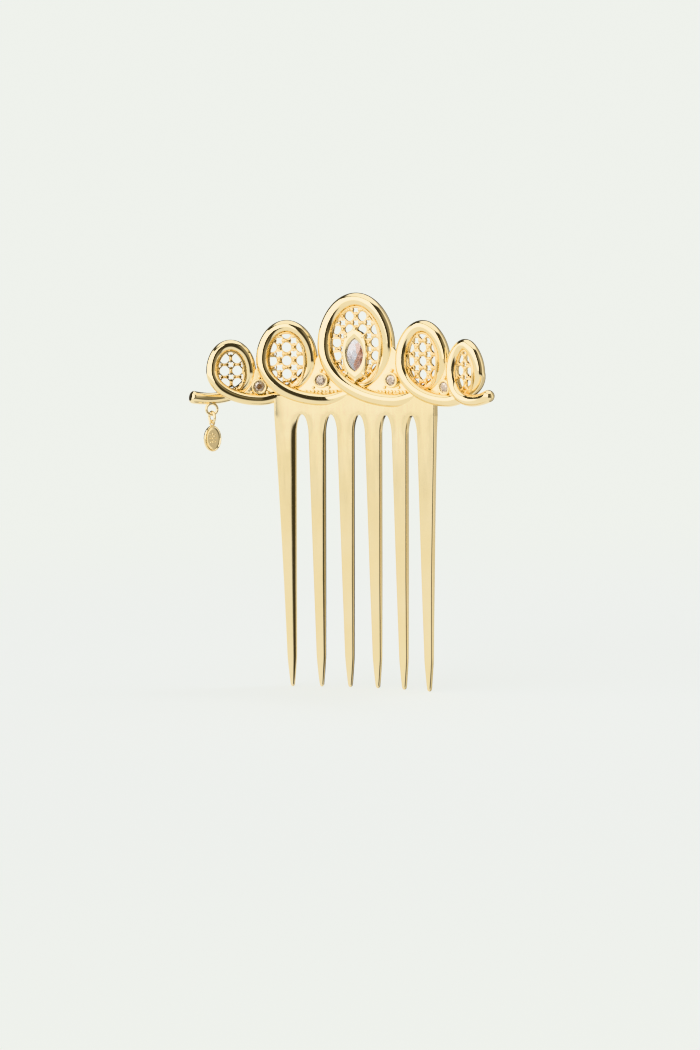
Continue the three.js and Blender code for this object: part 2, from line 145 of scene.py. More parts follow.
def ease(t):
    """0 to 1, level at both ends."""
    t = np.clip(t, 0, 1)
    return t * t * (3 - 2 * t)


def quarter(t):
    """The height of a quarter circle of radius 1, at a share t of the way in from its edge."""
    return np.sqrt(1 - (1 - np.clip(t, 0, 1)) ** 2)


def unit(vectors):
    return vectors / np.linalg.norm(vectors, axis=1, keepdims=True)


def turns(count):
    """Evenly spaced angles once round."""
    return np.linspace(0, 2 * math.pi, count, endpoint=False)


def resampled(points, spacing):
    """Points spaced evenly along a line, at the distances that spacing gives for its length."""
    run = np.append(0, np.cumsum(np.linalg.norm(np.diff(points, axis=0), axis=1)))
    even = spacing(run[-1])
    return np.stack([np.interp(even, run, column) for column in points.T], 1), even


class Solid:
    """A mesh under construction, in metres."""

    def __init__(self):
        self.bm = bmesh.new()

    def add(self, points, faces):
        verts = [self.bm.verts.new(point) for point in points]
        for face in faces:
            self.bm.faces.new([verts[i] for i in face])

    def add_rings(self, rings, ends="capped"):
        """Joins rings of points into a skin, with its ends capped, left open or joined."""
        rings = np.asarray(rings, float)
        count, sides = rings.shape[:2]
        points = rings.reshape(-1, 3)
        here = np.arange(count * sides).reshape(count, sides)
        if ends == "joined":
            here = np.vstack([here, here[:1]])
        after = np.roll(here, -1, axis=1)
        faces = np.stack([here[:-1], after[:-1], after[1:], here[1:]], -1).reshape(-1, 4).tolist()
        if ends == "capped":
            faces += [(len(points), b, a) for a, b in zip(here[0], after[0])]
            faces += [(len(points) + 1, a, b) for a, b in zip(here[-1], after[-1])]
            points = np.vstack([points, rings[0].mean(axis=0), rings[-1].mean(axis=0)])
        self.add(points, faces)

    def finish(self, name, merge=1e-7, sharp=None):
        """The finished mesh. Edges over sharp degrees stay crisp, and 0 keeps every facet flat."""
        bmesh.ops.remove_doubles(self.bm, verts=self.bm.verts, dist=merge)
        bmesh.ops.dissolve_degenerate(self.bm, edges=self.bm.edges, dist=merge)
        bmesh.ops.recalc_face_normals(self.bm, faces=self.bm.faces)
        mesh = bpy.data.meshes.new(name)
        self.bm.to_mesh(mesh)
        self.bm.free()
        mesh.polygons.foreach_set("use_smooth", [sharp != 0] * len(mesh.polygons))
        if sharp:
            mesh.set_sharp_from_angle(angle=math.radians(sharp))
        return mesh


def place(mesh, material, slot, body, *nodes):
    """Makes a mesh a piece of the object, which rides on a body and stands for CAD nodes."""
    piece = bpy.data.objects.new(mesh.name, mesh)
    bpy.context.scene.collection.objects.link(piece)
    mesh.materials.append(material)
    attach(piece, body)
    if nodes:
        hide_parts(*nodes)


def rings_about(path, along, radii, angles):
    """Round rings about a bent path, square to its unit directions."""
    outward = path + [0, ARC_RADIUS * MM, 0]
    outward[:, 2] = 0
    side = unit(np.cross(along, outward))
    front = np.cross(side, along)
    turn = np.cos(angles)[:, None] * side[:, None] - np.sin(angles)[:, None] * front[:, None]
    return path[:, None] + turn * np.reshape(radii, (-1, 1, 1)) * MM


def bead_rings(centre, size, turn, rows, columns):
    """The flat rings of a bead: its centre and half sizes across, up and to the front, in mm."""
    tilt = math.pi * np.arange(1, rows) / rows
    around = turns(columns)
    x = size[0] * np.outer(np.sin(tilt), np.cos(around))
    y = size[1] * np.outer(np.sin(tilt), np.sin(around))
    front = np.broadcast_to(size[2] * np.cos(tilt)[:, None], x.shape)
    across = x * math.cos(turn) - y * math.sin(turn)
    up = x * math.sin(turn) + y * math.cos(turn)
    return np.asarray(centre) + np.stack([across, up, front], -1)


def add_bead(solid, centre, size, turn=0.0):
    """Adds a bead, bent with the comb, to a solid."""
    solid.add_rings([bend(ring) for ring in bead_rings(centre, size, turn, 8, 14)])


def circle(x, y, radius, count=32):
    angles = turns(count)
    return np.stack([x + radius * np.cos(angles), y + radius * np.sin(angles)], 1)


def seen_from(azimuth, elevation):
    """The direction from the comb to a place to its front, turned to the right and up."""
    across = math.cos(elevation)
    return Vector((math.sin(azimuth) * across, -math.cos(azimuth) * across, math.sin(elevation)))


def empty_tree(owner):
    owner.use_nodes = True
    owner.node_tree.nodes.clear()
    return owner.node_tree


def add_node(tree, kind, inputs=None, **settings):
    """Adds a shader node. An input is a value, or another node's output to link."""
    node = tree.nodes.new(kind)
    for name, value in settings.items():
        setattr(node, name, value)
    for socket, value in (inputs or {}).items():
        if isinstance(value, bpy.types.NodeSocket):
            tree.links.new(value, node.inputs[socket])
        else:
            node.inputs[socket].default_value = value
    return node


def spread(tree, value, low, high, to_low, to_high, **settings):
    """Stretches values between low and high to a new span."""
    return add_node(tree, "ShaderNodeMapRange", {
        "Value": value, "From Min": low, "From Max": high, "To Min": to_low, "To Max": to_high,
    }, **settings).outputs["Result"]


# ---- camera ----
CAMERA_AZIMUTH, CAMERA_ELEVATION, CAMERA_ROLL = (math.radians(a) for a in (22.5, 5.4, 1.03))
CAMERA_DISTANCE = 990.0
CAMERA_TARGET_HEIGHT = 72.5
CAMERA_ASIDE, CAMERA_BELOW = 2.78, 29.055
CAMERA_LENS, CAMERA_SENSOR = 128.98, 36.0


def make_camera():
    """The photo's view."""
    back = seen_from(CAMERA_AZIMUTH, CAMERA_ELEVATION)
    right = Vector((math.cos(CAMERA_AZIMUTH), math.sin(CAMERA_AZIMUTH), 0))
    up = back.cross(right)
    place_mm = Vector((0, 0, CAMERA_TARGET_HEIGHT)) + back * CAMERA_DISTANCE
    place_mm += -right * CAMERA_ASIDE - up * CAMERA_BELOW
    axes = Matrix((right, up, back)).transposed() @ Matrix.Rotation(-CAMERA_ROLL, 3, "Z")
    data = bpy.data.cameras.new("camera")
    data.lens, data.sensor_width, data.sensor_fit = CAMERA_LENS, CAMERA_SENSOR, "AUTO"
    data.clip_start, data.clip_end = 0.01, 50
    camera = bpy.data.objects.new("camera", data)
    camera.matrix_world = Matrix.LocRotScale(place_mm * MM, axes.to_quaternion(), None)
    bpy.context.scene.collection.objects.link(camera)
    bpy.context.scene.camera = camera


make_camera()

# ---- studio ----
# Soft panels of light: their spans in degrees as seen from the comb (azimuth 0 is in front, 90 to
# the right), the softness of both pairs of edges, and their light.
PANELS = (
    dict(azimuth=(-80, 9), elevation=(-3, 42), soft=(3, 2), light=(4.0, 4.0, 3.9)),
    dict(azimuth=(76, 156), elevation=(-8, 54), soft=(7, 5), light=(0.5, 0.47, 0.4)),
    dict(azimuth=(88, 104), elevation=(-20, 60), soft=(5, 6), light=(0.9, 0.87, 0.8)),
    dict(azimuth=(42, 80), elevation=(-10, 34), soft=(6, 6), light=(0.22, 0.2, 0.15)),
    dict(azimuth=(-180, 181), elevation=(54, 91), soft=(5, 6), light=(1.9, 1.9, 1.85)),
    dict(azimuth=(-180, -128), elevation=(-4, 14), soft=(6, 3), light=(0.8, 0.8, 0.76)),
    dict(azimuth=(-180, 9), elevation=(-91, -4.2), soft=(3, 1.6), light=(0.98, 0.98, 0.95)),
    dict(azimuth=(78, 156), elevation=(-91, -7), soft=(7, 3), light=(0.6, 0.58, 0.52)),
    dict(azimuth=(9, 78), elevation=(-91, -24), soft=(4, 6), light=(0.9, 0.9, 0.87)),
)
DIM_ROOM = (0.08, 0.08, 0.088)  # what shows between the panels


def make_world():
    """The studio as the polished gold sees it."""
    world = bpy.data.worlds.new("studio")
    bpy.context.scene.world = world
    tree = empty_tree(world)
    direction = add_node(tree, "ShaderNodeSeparateXYZ", {
        0: add_node(tree, "ShaderNodeTexCoord").outputs["Generated"],
    })

    def math_node(operation, *values):
        node = add_node(tree, "ShaderNodeMath", dict(enumerate(values)), operation=operation)
        return node.outputs[0]

    def degrees(operation, *values):
        return math_node("MULTIPLY", math_node(operation, *values), math.degrees(1))

    def edge(value, centre, softness, ends):
        low, high = centre - softness, centre + softness
        return spread(tree, value, low, high, *ends, interpolation_type="SMOOTHSTEP")

    def band(value, span, softness):
        start = edge(value, span[0], softness, (0.0, 1.0))
        end = edge(value, span[1], softness, (1.0, 0.0))
        return math_node("MULTIPLY", start, end)

    minus_y = math_node("MULTIPLY", direction.outputs["Y"], -1.0)
    azimuth = degrees("ARCTAN2", direction.outputs["X"], minus_y)
    elevation = degrees("ARCSINE", direction.outputs["Z"])
    total = DIM_ROOM
    for panel in PANELS:
        around = band(azimuth, panel["azimuth"], panel["soft"][0])
        upward = band(elevation, panel["elevation"], panel["soft"][1])
        mask = math_node("MULTIPLY", around, upward)
        glow = add_node(tree, "ShaderNodeVectorMath", {0: panel["light"], "Scale": mask},
                        operation="SCALE").outputs[0]
        total = add_node(tree, "ShaderNodeVectorMath", {0: total, 1: glow},
                         operation="ADD").outputs[0]
    background = add_node(tree, "ShaderNodeBackground", {"Color": total, "Strength": 1.0})
    add_node(tree, "ShaderNodeOutputWorld", {"Surface": background.outputs[0]})


# The sweep, in metres.
SWEEP_RADIUS = 3.0
SWEEP_CURVE = 1.2
SWEEP_HEIGHT = 6.0
SWEEP_SIDES, SWEEP_STEPS = 64, 8
SHADED_WITHIN = (0.12, 0.5)  # the distances over which shadows die out
BACKDROP_GLOW = (1.045, 1.075, 1.015, 1)
SHADOW_SHARE = 0.55
PAPER_COLOUR = (0.378, 0.388, 0.392, 1)


def sweep_mesh():
    profile = [(radius, 0.0) for radius in (0.001, 0.05, 0.1, 0.2, 0.4, 0.8)]
    for angle in np.linspace(0, math.pi / 2, SWEEP_STEPS + 1):
        radius = SWEEP_RADIUS - SWEEP_CURVE * (1 - math.sin(angle))
        profile.append((radius, SWEEP_CURVE * (1 - math.cos(angle))))
    profile.append((SWEEP_RADIUS, SWEEP_HEIGHT))
    rings = [[(x, y, z) for x, y in circle(0, 0, radius, SWEEP_SIDES)] for radius, z in profile]
    solid = Solid()
    solid.add_rings(rings, ends="open")
    solid.add(rings[0], [range(SWEEP_SIDES)])
    return solid.finish("sweep")


def sweep_material():
    """Paper that glows, and near the comb is partly lit, so that it takes a shadow."""
    material = bpy.data.materials.new("pale_sweep")
    tree = empty_tree(material)
    glow = add_node(tree, "ShaderNodeEmission", {"Color": BACKDROP_GLOW, "Strength": 1.0})
    dim = add_node(tree, "ShaderNodeEmission", {"Color": BACKDROP_GLOW, "Strength": 1 - SHADOW_SHARE})
    paper = add_node(tree, "ShaderNodeBsdfDiffuse", {"Color": PAPER_COLOUR})
    shaded = add_node(tree, "ShaderNodeAddShader", {0: dim.outputs[0], 1: paper.outputs[0]})
    position = add_node(tree, "ShaderNodeNewGeometry").outputs["Position"]
    distance = add_node(tree, "ShaderNodeVectorMath", {0: position}, operation="LENGTH")
    far = spread(
        tree, distance.outputs["Value"], *SHADED_WITHIN, 0.0, 1.0, interpolation_type="SMOOTHSTEP",
    )
    mix = add_node(tree, "ShaderNodeMixShader", {0: far, 1: shaded.outputs[0], 2: glow.outputs[0]})
    add_node(tree, "ShaderNodeOutputMaterial", {"Surface": mix.outputs[0]})
    return material


def make_sweep():
    """A pale floor that curves up into a wall all round, which only the camera sees."""
    mesh = sweep_mesh()
    mesh.materials.append(sweep_material())
    sweep = bpy.data.objects.new("sweep", mesh)
    bpy.context.scene.collection.objects.link(sweep)
    sweep.visible_glossy = sweep.visible_diffuse = sweep.visible_shadow = False


def make_lamp(name, azimuth, elevation, distance, size, watts):
    """A soft square lamp aimed at the comb, which the polished metal doesn't mirror."""
    data = bpy.data.lights.new(name, "AREA")
    data.shape, data.size, data.energy = "SQUARE", size, watts
    lamp = bpy.data.objects.new(name, data)
    back = seen_from(math.radians(azimuth), math.radians(elevation))
    lamp.location = back * distance + Vector((0, 0, CAMERA_TARGET_HEIGHT * MM))
    lamp.rotation_mode = "QUATERNION"
    lamp.rotation_quaternion = back.to_track_quat("Z", "Y")
    lamp.visible_glossy = lamp.visible_camera = False
    bpy.context.scene.collection.objects.link(lamp)


make_world()
make_sweep()
make_lamp("lamp_right", azimuth=125, elevation=66, distance=0.6, size=0.1, watts=0.75)
bpy.context.scene.view_settings.view_transform = "Khronos PBR Neutral"


# ---- materials ----
def start_material(name, inputs):
    """A material with one principled shader. Gives the material, its node tree and the shader."""
    material = bpy.data.materials.new(name)
    tree = empty_tree(material)
    shader = add_node(tree, "ShaderNodeBsdfPrincipled", inputs)
    add_node(tree, "ShaderNodeOutputMaterial", {"Surface": shader.outputs[0]})
    return material, tree, shader


def noise(tree, scale, detail, stretch=(1, 1, 1), distortion=0.0):
    """Noise in the object's own metres: scale 1000 has features of about a millimetre."""
    coordinates = add_node(tree, "ShaderNodeTexCoord").outputs["Object"]
    mapping = add_node(tree, "ShaderNodeMapping", {"Vector": coordinates, "Scale": stretch})
    node = add_node(tree, "ShaderNodeTexNoise", {
        "Vector": mapping.outputs[0], "Scale": scale, "Detail": detail, "Distortion": distortion,
    })
    return node.outputs["Fac"]


MIX_A, MIX_B, MIX_RESULT = 6, 7, 2  # the colour sockets of a mix node


def polished_gold(name, pale, deep, smooth, rough, ripple):
    """Polished plated gold: slow colour drift, buffing marks in the gloss, and a gentle ripple."""
    material, tree, shader = start_material(name, {"Metallic": 1.0})
    drift = noise(tree, 70, 3)
    colour = add_node(tree, "ShaderNodeMix", {
        0: spread(tree, drift, 0.35, 0.65, 0.0, 1.0), MIX_A: (*pale, 1), MIX_B: (*deep, 1),
    }, data_type="RGBA")
    tree.links.new(colour.outputs[MIX_RESULT], shader.inputs["Base Color"])
    buffing = noise(tree, 900, 4, stretch=(1, 1, 0.12), distortion=0.4)
    tree.links.new(spread(tree, buffing, 0.3, 0.75, smooth, rough), shader.inputs["Roughness"])
    wave = add_node(tree, "ShaderNodeBump", {
        "Height": noise(tree, 130, 1.5), "Strength": 1.0, "Distance": ripple * MM,
    })
    marks = add_node(tree, "ShaderNodeBump", {
        "Height": buffing, "Strength": 0.12, "Distance": 0.001 * MM, "Normal": wave.outputs[0],
    })
    tree.links.new(marks.outputs[0], shader.inputs["Normal"])
    return material


REFLECTION_TINT_DRIFT = 0.12  # how much the painted reflection tint drifts inside a facet


def cut_stone_material(name, dark, light):
    """A transparent stone whose facets get painted reflections: tints between two colours that stand
    in for what each facet mirrors.
    """
    material, tree, shader = start_material(name, {
        "Roughness": 0.02, "IOR": 1.9, "Transmission Weight": 0.25, "Specular IOR Level": 0.6,
    })
    facet = add_node(tree, "ShaderNodeAttribute", attribute_name="facet").outputs["Fac"]
    reflection_noise = noise(tree, 1400, 3)
    tint = add_node(tree, "ShaderNodeMath", {
        0: facet, 1: spread(tree, reflection_noise, 0.3, 0.7, -REFLECTION_TINT_DRIFT, REFLECTION_TINT_DRIFT),
    }, operation="ADD").outputs[0]
    ramp = add_node(tree, "ShaderNodeValToRGB", {"Fac": tint})
    ramp.color_ramp.elements[0].color = (*dark, 1)
    ramp.color_ramp.elements[1].color = (*light, 1)
    tree.links.new(ramp.outputs["Color"], shader.inputs["Base Color"])
    return material


GOLD_PALE, GOLD_DEEP = (0.95, 0.795, 0.5), (0.92, 0.755, 0.44)
gold = polished_gold("polished_gold", GOLD_PALE, GOLD_DEEP, 0.035, 0.09, 0.02)
plate_gold = polished_gold("plate_gold", GOLD_PALE, GOLD_DEEP, 0.05, 0.1, 0.012)
lattice_gold = polished_gold("lattice_gold", (0.95, 0.74, 0.4), (0.9, 0.64, 0.28), 0.05, 0.12, 0.004)
cast_gold = polished_gold("cast_gold", GOLD_PALE, GOLD_DEEP, 0.2, 0.3, 0.01)
# Both stones' two colours are painted reflections: the marquise's copper and grey-blue sides and the
# corner stones' browns and beiges stand in for what the facets mirror.
clear_stone = cut_stone_material("clear_stone", (0.42, 0.17, 0.08), (0.4, 0.42, 0.46))
smoky_stone = cut_stone_material("smoky_stone", (0.26, 0.15, 0.08), (0.66, 0.58, 0.47))

# ---- comb plate ----
EDGE_WALL = 0.4  # half the height of the flat wall along an edge
EDGE_ROUND = 0.34
CROWN_RISE = 0.21
FADE_BELOW = 0.85  # share of the fade that lies below the tops of the gaps
CROWN_FADE = 7.0  # height over which the teeth's crown dies out into the band
TIP_ROUND = 0.6
POINT_POWER = 0.6  # how full the points of the teeth are
SPREAD_POWER = 1.7  # how late the outer edges spread to the full width
THINNING = 0.4  # share of a tooth's length over which it thins
EDGE_STEPS = (0, 0.012, 0.05, 0.11, 0.19, 0.29, 0.36, 0.46)  # in from an edge
FACE_COLUMNS = 10
TIP_ROWS, ARCH_ROWS, ROW_STEP = 7, 18, 0.9
BAND_RISES = (0.06, 0.16, 0.3, 0.5, 0.8, 1.2, 1.8, 2.6)  # rows above the gaps
TOP_ROW = 0.05  # the last row below the top
WALL_FACE = 0.93  # share of the wall that is quite flat


def tooth_half_width(height, outer):
    """Half the width of a tooth on one side, as in the CAD part, with a rounded tip."""
    height = np.asarray(height, float)
    low = np.minimum(height, TOOTH_LENGTH)
    along = low / TOOTH_LENGTH
    taper = lerp(TOOTH_TIP_WIDTH, TOOTH_ROOT_WIDTH, along) / 2
    point = POINT_SHARE + (1 - POINT_SHARE) * np.minimum(1, low / POINT_LENGTH) ** POINT_POWER
    point = point * quarter(low / TIP_ROUND)
    if outer:
        edge = PLATE_HALF_WIDTH - (TOOTH_COUNT - 1) / 2 * TOOTH_PITCH
        return point * (taper + (edge - TOOTH_ROOT_WIDTH / 2) * along ** SPREAD_POWER)
    into_arch = np.clip(1 - (TOOTH_LENGTH - low) / GAP_ARCH_HEIGHT, 0, 1)
    return point * (taper + (TOOTH_PITCH / 2 - taper) * (1 - np.sqrt(1 - into_arch ** 2)))


def plate_rows():
    """Heights of the rows of points, close together at the tip and about the arch."""
    tip = TIP_ROUND * (1 - np.cos(math.pi / 2 * np.arange(TIP_ROWS + 1) / TIP_ROWS))
    shank = np.arange(TIP_ROUND + 0.6, TOOTH_LENGTH - GAP_ARCH_HEIGHT, ROW_STEP)
    into_arch = 1 - np.sin(math.pi / 2 * np.arange(ARCH_ROWS + 1) / ARCH_ROWS)
    arch = TOOTH_LENGTH - GAP_ARCH_HEIGHT * into_arch
    band = TOOTH_LENGTH + np.array(BAND_RISES)
    return np.concatenate([tip, shank, arch, band, [PLATE_TOP - TOP_ROW, PLATE_TOP]])


def across_tooth(left, right):
    """Places across a tooth from -left to right, close together near each edge."""
    sides = []
    for half in (left, right):
        near = np.array(EDGE_STEPS) * min(1.0, half)
        far = near[-1] + (half - near[-1]) * np.arange(1, FACE_COLUMNS) / FACE_COLUMNS
        sides.append(half - np.append(near, far))
    return np.concatenate([-sides[0], [0.0], sides[1][::-1]])


def build_plate():
    """The band and its teeth, rounded at every edge and domed across each tooth."""
    rows = plate_rows()
    arch = TOOTH_LENGTH - GAP_ARCH_HEIGHT * (1 - np.sin(np.linspace(0, math.pi / 2, 300)))
    solid = Solid()
    for index in range(TOOTH_COUNT):
        outer = (index == 0, index == TOOTH_COUNT - 1)
        centre = PLATE_CENTRE + (index - (TOOTH_COUNT - 1) / 2) * TOOTH_PITCH
        left, right = (tooth_half_width(rows, side) for side in outer)
        x = np.stack([across_tooth(a, b) for a, b in zip(left, right)])
        heights = np.broadcast_to(rows[:, None], x.shape)
        distance = np.full(x.shape, 1e3)
        for side, sign, half in zip(outer, (-1, 1), (left, right)):
            beside = half[:, None] - sign * x
            if not side:
                edge = np.stack([sign * tooth_half_width(arch, False), arch], 1)
                gap = np.stack([x, heights], -1)[:, :, None] - edge
                near = np.min(np.linalg.norm(gap, axis=-1), axis=-1)
                beside = np.where(heights > TOOTH_LENGTH, near, np.minimum(beside, near))
            distance = np.minimum(distance, beside)
        depth = EDGE_WALL + EDGE_ROUND * quarter(distance / EDGE_ROUND)
        half = np.where(x < 0, left[:, None], right[:, None]).clip(1e-6)
        into_band = ease((heights - TOOTH_LENGTH) / CROWN_FADE + FADE_BELOW)
        depth += CROWN_RISE * lerp(1 - np.abs(x / half) ** 3, 1.0, into_band)
        full = np.minimum(1, rows / (THINNING * TOOTH_LENGTH))
        thickness = lerp(TOOTH_TIP_THICKNESS, PLATE_THICKNESS, full)
        depth *= (thickness / PLATE_THICKNESS * quarter(rows / TIP_ROUND))[:, None]
        add_tooth(solid, x + centre, heights, depth, rows, outer)
    return solid.finish("plate_and_teeth", merge=2e-7)


def add_tooth(solid, x, heights, depth, rows, outer):
    """Front and back skins, and the walls that join them along every free edge."""
    free = rows[1:] <= TOOTH_LENGTH + 1e-9
    whole = np.full(len(free), True)
    for sign in (1, -1):
        add_grid(solid, (x, heights, sign * depth), whole)
    for column, side in ((0, outer[0]), (-1, outer[1])):
        wall = np.array([1, WALL_FACE, -WALL_FACE, -1]) * depth[:, column, None]
        level = [np.broadcast_to(values[:, column, None], wall.shape) for values in (x, heights)]
        add_grid(solid, (*level, wall), whole if side else free)
    top = [np.broadcast_to(values[-1], (2, x.shape[1])) for values in (x, heights)]
    add_grid(solid, (*top, np.stack([depth[-1], -depth[-1]])), [True])


def add_grid(solid, coordinates, kept):
    """Adds four-sided faces between rows of points, where kept says so."""
    rows, columns = coordinates[0].shape
    faces = []
    for row in range(rows - 1):
        if kept[row]:
            for here in range(row * columns, (row + 1) * columns - 1):
                faces.append((here, here + 1, here + 1 + columns, here + columns))
    solid.add(bend(np.stack(coordinates, -1)), faces)


place(build_plate(), plate_gold, "polished_gold", "comb", "comb_plate")

# ---- crown scroll ----
DEPTH_SHARE = 0.85  # how much of the CAD part's spacing between crossing strokes is left
TUBE_STEP, TUBE_SIDES = 0.35, 40
BLEND_LENGTH = 6.0  # length over which a tube takes on its neighbour's thickness
LEFT_END = dict(swell=FINIAL_SWELL, length=6.0, roundness=0.45)
RIGHT_END = dict(swell=1.06, length=4.0, roundness=1.0)
# The strokes' curve handles: to the front in spacings between crossing strokes, and down from a
# loop's sides in shares of its rise.
FRONT_HANDLE, BACK_HANDLE, LOW_POINT_FRONT = 1.25, -1.5, 0.15
RISING_HANDLE, FALLING_HANDLE, RUN_IN_HANDLE = 0.62, 0.6, 0.26
FIRST_HANDLES = dict(along=7.8, down=1.8, rising=0.75, back=-1.4)
LAST_HANDLES = dict(aside=1.2, down=1.2, front=1.35, end_front=0.9)
PASSING_ANGLE = 1.2  # how much of each side of a loop changes depth, in radians


def cubic(a, b, c, d):
    """Points along a cubic Bezier curve."""
    t = np.linspace(0, 1, 200)[:, None]
    a, b, c, d = (np.array(p, float) for p in (a, b, c, d))
    return (1 - t) ** 3 * a + 3 * (1 - t) ** 2 * t * b + 3 * (1 - t) * t ** 2 * c + t ** 3 * d


def loop_frame(index):
    """The spacing of a loop's strokes, its rise, and its left, right and lowest points."""
    loop = LOOPS[index]
    depth = (loop["wire"] + 0.2) * DEPTH_SHARE
    floor = loop["floor"] + loop["wire"]
    right = np.array([loop["centre"] + loop["half_width"], loop["middle"], -0.5 * depth])
    left = np.array([loop["centre"] - loop["half_width"], loop["middle"], 0.5 * depth])
    low = np.array([loop["centre"] + loop["low_run"], floor, LOW_POINT_FRONT * depth])
    return depth, loop["middle"] - floor, left, right, low


def entry_curve(index):
    """The rising stroke, behind: from the left end or the last low point to the right side."""
    depth, rise, _, right, _ = loop_frame(index)
    if index == 0:
        arc, height = LEFT_FINIAL
        first = FIRST_HANDLES
        leaving = (arc + first["along"], height - first["down"], BACK_HANDLE * depth)
        rising = (right[0], right[1] - first["rising"] * rise, first["back"] * depth)
        return cubic((arc, height, 0), leaving, rising, right)
    start = loop_frame(index - 1)[4]
    run_in = start - low_handle(index - 1)
    leaving = start + run_in * RUN_IN_HANDLE * (right[0] - start[0]) / run_in[0]
    rising = (right[0], right[1] - RISING_HANDLE * rise, BACK_HANDLE * depth)
    return cubic(start, leaving, rising, right)


def low_handle(index):
    """The handle before a stroke's lowest point, which the next loop's entry carries on from."""
    depth, _, left, _, low = loop_frame(index)
    return np.array([(left[0] + low[0]) / 2, low[1], FRONT_HANDLE * depth])


def exit_curve(index):
    """The falling stroke, in front: from the left side to the low point or the right end."""
    depth, rise, left, _, low = loop_frame(index)
    if index == len(LOOPS) - 1:
        arc, height = RIGHT_FINIAL
        last = LAST_HANDLES
        falling = (left[0] + last["aside"], left[1] - rise, FRONT_HANDLE * depth)
        arriving = ((left[0] + arc) / 2, left[1] - rise - last["down"], last["front"] * depth)
        return cubic(left, falling, arriving, (arc, height, last["end_front"] * depth))
    falling = (left[0], left[1] - FALLING_HANDLE * rise, FRONT_HANDLE * depth)
    return cubic(left, falling, low_handle(index), low)


def loop_path(index):
    """The centre of a loop's tube, in even steps."""
    loop = LOOPS[index]
    _, _, left, right, _ = loop_frame(index)
    entry = entry_curve(index)
    if index > 0:
        entry = entry[int(HANDOVER * len(entry)):]
    angle = np.linspace(0, math.pi, 200)
    passed = ease(angle / PASSING_ANGLE) + ease((angle - math.pi + PASSING_ANGLE) / PASSING_ANGLE)
    over = np.stack([
        loop["centre"] + loop["half_width"] * np.cos(angle),
        loop["middle"] + loop["half_height"] * np.sin(angle),
        lerp(right[2], left[2], passed / 2),
    ], 1)
    parts = [entry[:-1], over[:-1], exit_curve(index)]
    if index < len(LOOPS) - 1:
        following = entry_curve(index + 1)
        parts.append(following[1:int(HANDOVER * len(following)) + 1])
    return resampled(np.vstack(parts), lambda length: np.linspace(0, length, int(length / TUBE_STEP)))


def build_loop(index):
    """One loop's tube, as thick as its neighbours where they meet."""
    path, run = loop_path(index)
    way_back = run[-1] - run
    wire = LOOPS[index]["wire"]
    radii = np.full(len(path), wire)
    for other, way in ((index - 1, run), (index + 1, way_back)):
        if 0 <= other < len(LOOPS):
            shared = (wire + LOOPS[other]["wire"]) / 2
            blended = lerp(shared, radii, ease(way / BLEND_LENGTH))
            radii = np.where(way < BLEND_LENGTH, blended, radii)
    first, last = index == 0, index == len(LOOPS) - 1
    for free, end, way in ((first, LEFT_END, run), (last, RIGHT_END, way_back)):
        if free:
            radii = radii * lerp(end["swell"], 1, ease(way / end["length"]))
    line = bend(path)
    along = unit(np.gradient(line, axis=0))
    rings = list(rings_about(line, along, radii, turns(TUBE_SIDES)))
    if first:
        rings = end_rings(rings[0], -along[0], LEFT_END["roundness"], radii[0])[::-1] + rings
    if last:
        rings += end_rings(rings[-1], along[-1], RIGHT_END["roundness"], radii[-1])
    solid = Solid()
    solid.add_rings(rings)
    return solid.finish(f"scroll_tube_{LOOP_NAMES[index]}", sharp=70)


def end_rings(ring, tangent, roundness, radius):
    """Closes a tube's end with a rounded edge: roundness 1 is a full dome."""
    centre = np.mean(ring, axis=0)
    rings = []
    for step in range(1, 10):
        angle = math.pi / 2 * step / 10
        share = 1 - roundness * (1 - math.cos(angle))
        rings.append(centre + (ring - centre) * share
                     + tangent * roundness * radius * MM * math.sin(angle))
    return rings


for number, loop_name in enumerate(LOOP_NAMES):
    place(build_loop(number), gold, "polished_gold", "comb", f"scroll_loop_{loop_name}")


# ---- lattice panels ----
WINDOW_LEAN = 0.16  # how far a window's foot leans to the right, as a share of its half width
WINDOW_MARGIN = 0.5  # how far a panel runs on under the tube
PANEL_ROUNDING = 0.24
RIM_WIRE = 0.3
BEAD_LENGTH, BEAD_DEPTH = 0.62, 0.4  # half sizes of a bead
BEAD_WIDTH = 0.8  # as a share of the metal between two holes
BEAD_FRONT = 0.36
FARTHEST_HOLE = 1.3  # how far out a hole's middle may lie
EDGE_POINTS = 28
GRID_COLUMNS, GRID_ROWS = range(-4, 5), range(-5, 5)


def area(outline):
    """The area inside an outline, which is negative when it runs to the right."""
    x, y = np.asarray(outline, float).T
    return (np.dot(x, np.roll(y, -1)) - np.dot(y, np.roll(x, -1))) / 2


def turned(outline, left_hand):
    """The outline, run so that what it encloses is on the left, or on the right."""
    outline = np.asarray(outline, float)
    return outline if (area(outline) > 0) == left_hand else outline[::-1]


def add_sheet(solid, outlines, thickness, rounding, front=0.0):
    """Adds a sheet with rounded edges, cut to its first outline with the others as holes."""
    half = thickness / 2
    faces_mm = []
    for number, outline in enumerate(outlines):
        edge = turned(outline, number == 0)
        along = unit(np.roll(edge, -1, axis=0) - np.roll(edge, 1, axis=0))
        inward = np.stack([-along[:, 1], along[:, 0]], 1)
        rows = []
        for step in range(6):
            a = math.pi / 2 * step / 5
            inset, level = rounding * (1 - math.cos(a)), half - rounding * (1 - math.sin(a))
            rows.append(np.column_stack([edge + inset * inward, np.full(len(edge), level)]))
        back = [row * [1, 1, -1] for row in reversed(rows)]
        solid.add_rings([bend(row + [0, 0, front]) for row in back + rows], ends="open")
        faces_mm.append(rows[-1])
    triangles = tessellate_polygon([[Vector(point) for point in rim] for rim in faces_mm])
    face = np.vstack(faces_mm)
    solid.add(bend(face + [0, 0, front]), triangles)
    solid.add(bend(face * [1, 1, -1] + [0, 0, front]), triangles)


def window(loop, inset):
    """Half the width and height of a loop's window, less an inset."""
    return [loop[size] - loop["wire"] - inset for size in ("half_width", "half_height")]


